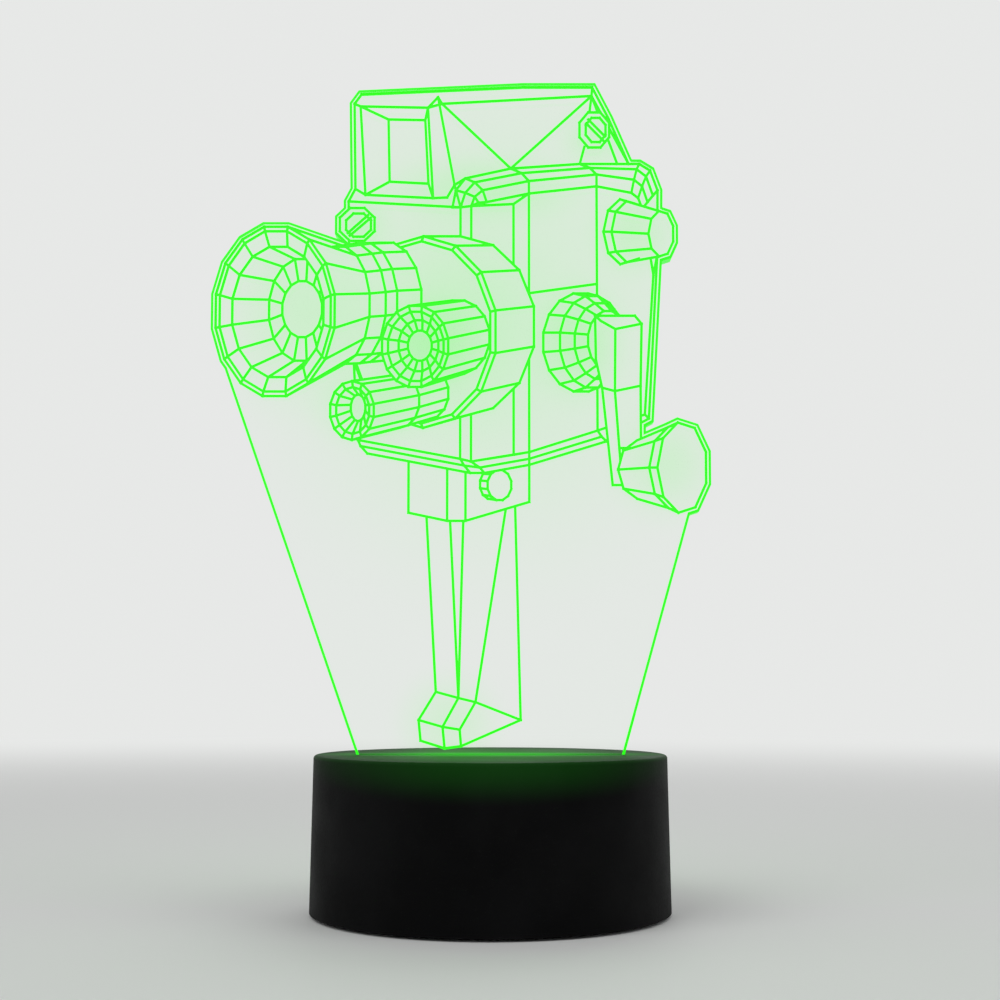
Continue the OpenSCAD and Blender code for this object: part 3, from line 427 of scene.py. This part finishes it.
def make_cell_sleeve():
    """A plain film sleeve in two colours, with bare metal at both ends of the cell."""
    material, tree, shader = new_material("two-colour film sleeve", Coat_Weight=0.5, Coat_Roughness=0.1)
    low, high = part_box("battery_cell_1")
    middle = (low.x + high.x) / 2
    radius = (high.z - low.z) / 2
    bare_end = 0.0016
    place = add(tree, "ShaderNodeSeparateXYZ")
    join(tree, (object_place(tree), place.inputs[0]))
    along = calculate(tree, "ABSOLUTE", calculate(tree, "SUBTRACT", place.outputs["X"], middle))
    end = calculate(tree, "GREATER_THAN", along, (high.x - low.x) / 2 - bare_end)
    band = calculate(tree, "GREATER_THAN", place.outputs["X"], middle + radius)
    skin = place_group(tree, moulded_skin, Colour=(0.05, 0.2, 0.11, 1),
                       Handled_Colour=(0.06, 0.24, 0.13, 1),
                       Roughness=0.25, Grain_Scale=500.0, Patch_Scale=90.0)
    brass_yellow = (0.55, 0.42, 0.16, 1)
    bare_metal = (0.7, 0.7, 0.72, 1)
    sleeve = mix_colours(tree, band, skin.outputs["Colour"], brass_yellow)
    join(tree,
         (mix_colours(tree, end, sleeve, bare_metal), shader.inputs["Base Color"]),
         (end, shader.inputs["Metallic"]),
         (skin.outputs["Roughness"], shader.inputs["Roughness"]))
    return material


def make_diode():
    """A diode's yellow lens, which shows green because it is lit."""
    material, tree, shader = new_material("lit diode lens", Emission_Strength=1.0, Coat_Weight=0.4)
    skin = place_group(tree, moulded_skin, Colour=(0.75, 0.8, 0.35, 1), Handled_Colour=(0.8, 0.8, 0.4, 1),
                       Roughness=0.25, Grain_Scale=3000.0, Patch_Scale=400.0)
    dress(tree, shader, skin, strength=0.1, distance=0.00002)
    share_of_grain = 0.3
    deep_green = (0.1, 0.9, 0.05, 1)
    pale_green = (0.3, 1.0, 0.2, 1)
    tone = calculate(tree, "MULTIPLY", skin.outputs["Height"], share_of_grain, clamp=True)
    glow = mix_colours(tree, tone, deep_green, pale_green)
    join(tree, (glow, shader.inputs["Emission Color"]))
    return material


def dress_nodes(material, *names):
    """Gives the named pieces one material."""
    for name in names:
        slots = nodes[name].data.materials
        slots.clear()
        slots.append(material)


# The base and its controls

dress_nodes(make_housing_plastic(), "base_housing")
dress_nodes(
    moulded("matt black cover plastic", (0.014, 0.014, 0.015), (0.02, 0.02, 0.021), roughness=0.6,
            grain=1700.0, relief=0.45, Specular_IOR_Level=0.35),
    "bottom_cover", "battery_door")
dress_nodes(
    moulded("polished black button", (0.012, 0.012, 0.013), (0.03, 0.03, 0.031), roughness=0.22,
            grain=3000.0, patch=260.0, relief=0.08, Coat_Weight=0.2, Coat_Roughness=0.1),
    "power_button")
dress_nodes(
    moulded("matt foot rubber", (0.035, 0.035, 0.036), (0.06, 0.06, 0.06), roughness=0.82,
            grain=1400.0, patch=160.0, relief=0.6, Specular_IOR_Level=0.3),
    "rubber_feet")
dress_nodes(
    metal("black oxide screws", (0.09, 0.09, 0.095), (0.2, 0.19, 0.18), roughness=0.38,
          relief=0.25),
    "cover_screws")

# The boards and what they carry

dress_nodes(
    board("white board coating", (0.84, 0.84, 0.8), (0.9, 0.9, 0.87), roughness=0.35),
    "led_board")
dress_nodes(
    board("green board coating", (0.02, 0.2, 0.08), (0.05, 0.32, 0.14), roughness=0.35),
    "control_board")
dress_nodes(make_diode(), "led_chips")
dress_nodes(
    metal("bright zinc screws", (0.72, 0.72, 0.74), (0.5, 0.5, 0.5), roughness=0.28),
    "led_board_screws", "control_board_screws")
dress_nodes(
    moulded("black chip epoxy", (0.02, 0.02, 0.021), (0.03, 0.03, 0.032), roughness=0.55,
            grain=6000.0, patch=600.0),
    "control_chip")
dress_nodes(
    moulded("brown ceramic", (0.42, 0.29, 0.17), (0.5, 0.36, 0.22), roughness=0.45,
            grain=5000.0, patch=900.0),
    "board_capacitors")
dress_nodes(
    moulded("black resistor film", (0.02, 0.02, 0.02), (0.05, 0.05, 0.05), roughness=0.4,
            grain=6000.0, patch=1200.0),
    "board_resistors")
dress_nodes(
    metal("bright nickel socket", (0.74, 0.72, 0.69), (0.5, 0.48, 0.45), roughness=0.22,
          stretch=(1.0, 0.08, 1.0)),
    "usb_shell")
dress_nodes(
    moulded("black socket tongue", (0.015, 0.015, 0.016), (0.03, 0.03, 0.03), roughness=0.4,
            grain=5000.0, patch=500.0),
    "usb_tongue")
dress_nodes(
    moulded("black switch body", (0.03, 0.03, 0.032), (0.045, 0.045, 0.047), roughness=0.5,
            grain=4000.0, patch=400.0),
    "switch_body")
dress_nodes(
    moulded("white switch plunger", (0.8, 0.8, 0.77), (0.86, 0.86, 0.84), roughness=0.4,
            grain=4000.0, patch=500.0),
    "switch_plunger")

# The cells, their contacts and the leads

dress_nodes(make_cell_sleeve(), "battery_cell_1", "battery_cell_2", "battery_cell_3")
dress_nodes(
    metal("nickel-plated spring steel", (0.78, 0.76, 0.72), (0.55, 0.5, 0.42), roughness=0.25,
          stretch=(1.0, 1.0, 0.05)),
    "positive_contact", "negative_contact", "right_bridge_contact", "left_bridge_contact")
dress_nodes(
    moulded("red lead insulation", (0.55, 0.02, 0.018), (0.65, 0.05, 0.04), roughness=0.4,
            patch=300.0, relief=0.15),
    "battery_lead_red", "led_lead_red")
dress_nodes(
    moulded("black lead insulation", (0.02, 0.02, 0.02), (0.04, 0.04, 0.04), roughness=0.42,
            patch=300.0, relief=0.15),
    "battery_lead_black", "led_lead_black")

# The engraved sheet

CLEAR, GROOVE, CUT_EDGE = range(3)
tolerance = 0.00002


def sheet_part(depths):
    """Which part of the sheet a face belongs to, from the places of its corners through the sheet."""
    faces_front_or_back = max(depths) - min(depths) < tolerance
    if faces_front_or_back:
        return GROOVE if abs(depths[0] - groove_floor_y) < tolerance else CLEAR
    return GROOVE if max(depths) < groove_floor_y + tolerance else CUT_EDGE


def finish_sheet(sheet):
    """Gives the broad faces clear acrylic, and the grooves and the cut edge lit frosted acrylic."""
    sheet.materials.clear()
    sheet.materials.append(make_clear_sheet())
    sheet.materials.append(make_lit_groove())
    sheet.materials.append(make_lit_edge())
    for face in sheet.polygons:
        face.material_index = sheet_part([sheet.vertices[i].co.y for i in face.vertices])


finish_sheet(nodes["acrylic_panel"].data)


# Floor, light and camera

def make_floor():
    """A wide pale floor that fades into the pale studio far from the lamp."""
    bpy.ops.mesh.primitive_circle_add(vertices=128, radius=6.0, fill_type="TRIFAN", location=(0, 0, 0))
    floor = bpy.context.object
    floor.name = "studio_floor"
    material, tree, shader = new_material("pale studio floor", Base_Color=(0.78, 0.79, 0.78, 1),
                                          Roughness=0.7, Specular_IOR_Level=0.2)
    distance = add(tree, "ShaderNodeVectorMath", operation="LENGTH")
    fade = add(tree, "ShaderNodeMapRange", {"From Min": 0.25, "From Max": 1.3},
               interpolation_type="SMOOTHERSTEP")
    shine = add(tree, "ShaderNodeEmission", {"Color": pale_studio, "Strength": 1.0})
    mix = add(tree, "ShaderNodeMixShader")
    join(tree,
         (object_place(tree), distance.inputs[0]),
         (distance.outputs["Value"], fade.inputs["Value"]),
         (fade.outputs[0], mix.inputs["Fac"]),
         (shader.outputs[0], mix.inputs[1]),
         (shine.outputs[0], mix.inputs[2]),
         (mix.outputs[0], surface_input(tree)))
    floor.data.materials.append(material)


def make_world():
    """Even soft light from all round, with the pale studio where it is seen, mirrored or seen through."""
    soft_light = 0.42
    world = bpy.data.worlds.new("pale studio")
    bpy.context.scene.world = world
    world.use_nodes = True
    tree = world.node_tree
    light = tree.nodes["Background"]
    light.inputs["Color"].default_value = (1, 1, 1, 1)
    light.inputs["Strength"].default_value = soft_light
    seen = add(tree, "ShaderNodeBackground", {"Color": pale_studio, "Strength": 1.0})
    path = add(tree, "ShaderNodeLightPath").outputs
    direct = calculate(tree, "MAXIMUM", path["Is Camera Ray"], path["Is Transmission Ray"])
    direct = calculate(tree, "MAXIMUM", direct, path["Is Glossy Ray"])
    mix = add(tree, "ShaderNodeMixShader")
    join(tree,
         (direct, mix.inputs["Fac"]),
         (light.outputs[0], mix.inputs[1]),
         (seen.outputs[0], mix.inputs[2]),
         (mix.outputs[0], tree.nodes["World Output"].inputs["Surface"]))


def add_softbox(name, place, size, power):
    """A square lamp that looks at the middle of the desk lamp, and isn't seen through the sheet."""
    data = bpy.data.lights.new(name, "AREA")
    data.size = size
    data.energy = power
    light = bpy.data.objects.new(name, data)
    light.visible_transmission = False
    bpy.context.scene.collection.objects.link(light)
    light.location = place
    aim = light.location.copy()
    aim.z -= (base_low.z + sheet_high.z) / 2
    light.rotation_euler = aim.to_track_quat("Z", "Y").to_euler()


def add_camera():
    """The photograph's view: close to the lamp, a little above the base's top, and tipped up slightly."""
    data = bpy.data.cameras.new("photo view")
    data.sensor_width = 36.0
    data.lens = 55.72
    data.shift_y = 0.08
    data.clip_start = 0.01
    camera = bpy.data.objects.new("photo view", data)
    bpy.context.scene.collection.objects.link(camera)
    camera.location = (0.00234, -0.385, 0.05623)
    level, tipped_up = 90.0, 3.827
    camera.rotation_euler = (math.radians(level + tipped_up), 0.0, 0.0)
    bpy.context.scene.camera = camera


make_floor()
make_world()
add_softbox("left softbox", (-0.8, -0.8, 1.0), size=1.0, power=6.0)
add_softbox("right softbox", (1.0, -0.5, 0.8), size=0.9, power=2.5)
add_softbox("rear softbox", (0.3, 1.1, 0.9), size=0.9, power=2.5)
add_camera()
bpy.context.scene.view_settings.view_transform = "Standard"
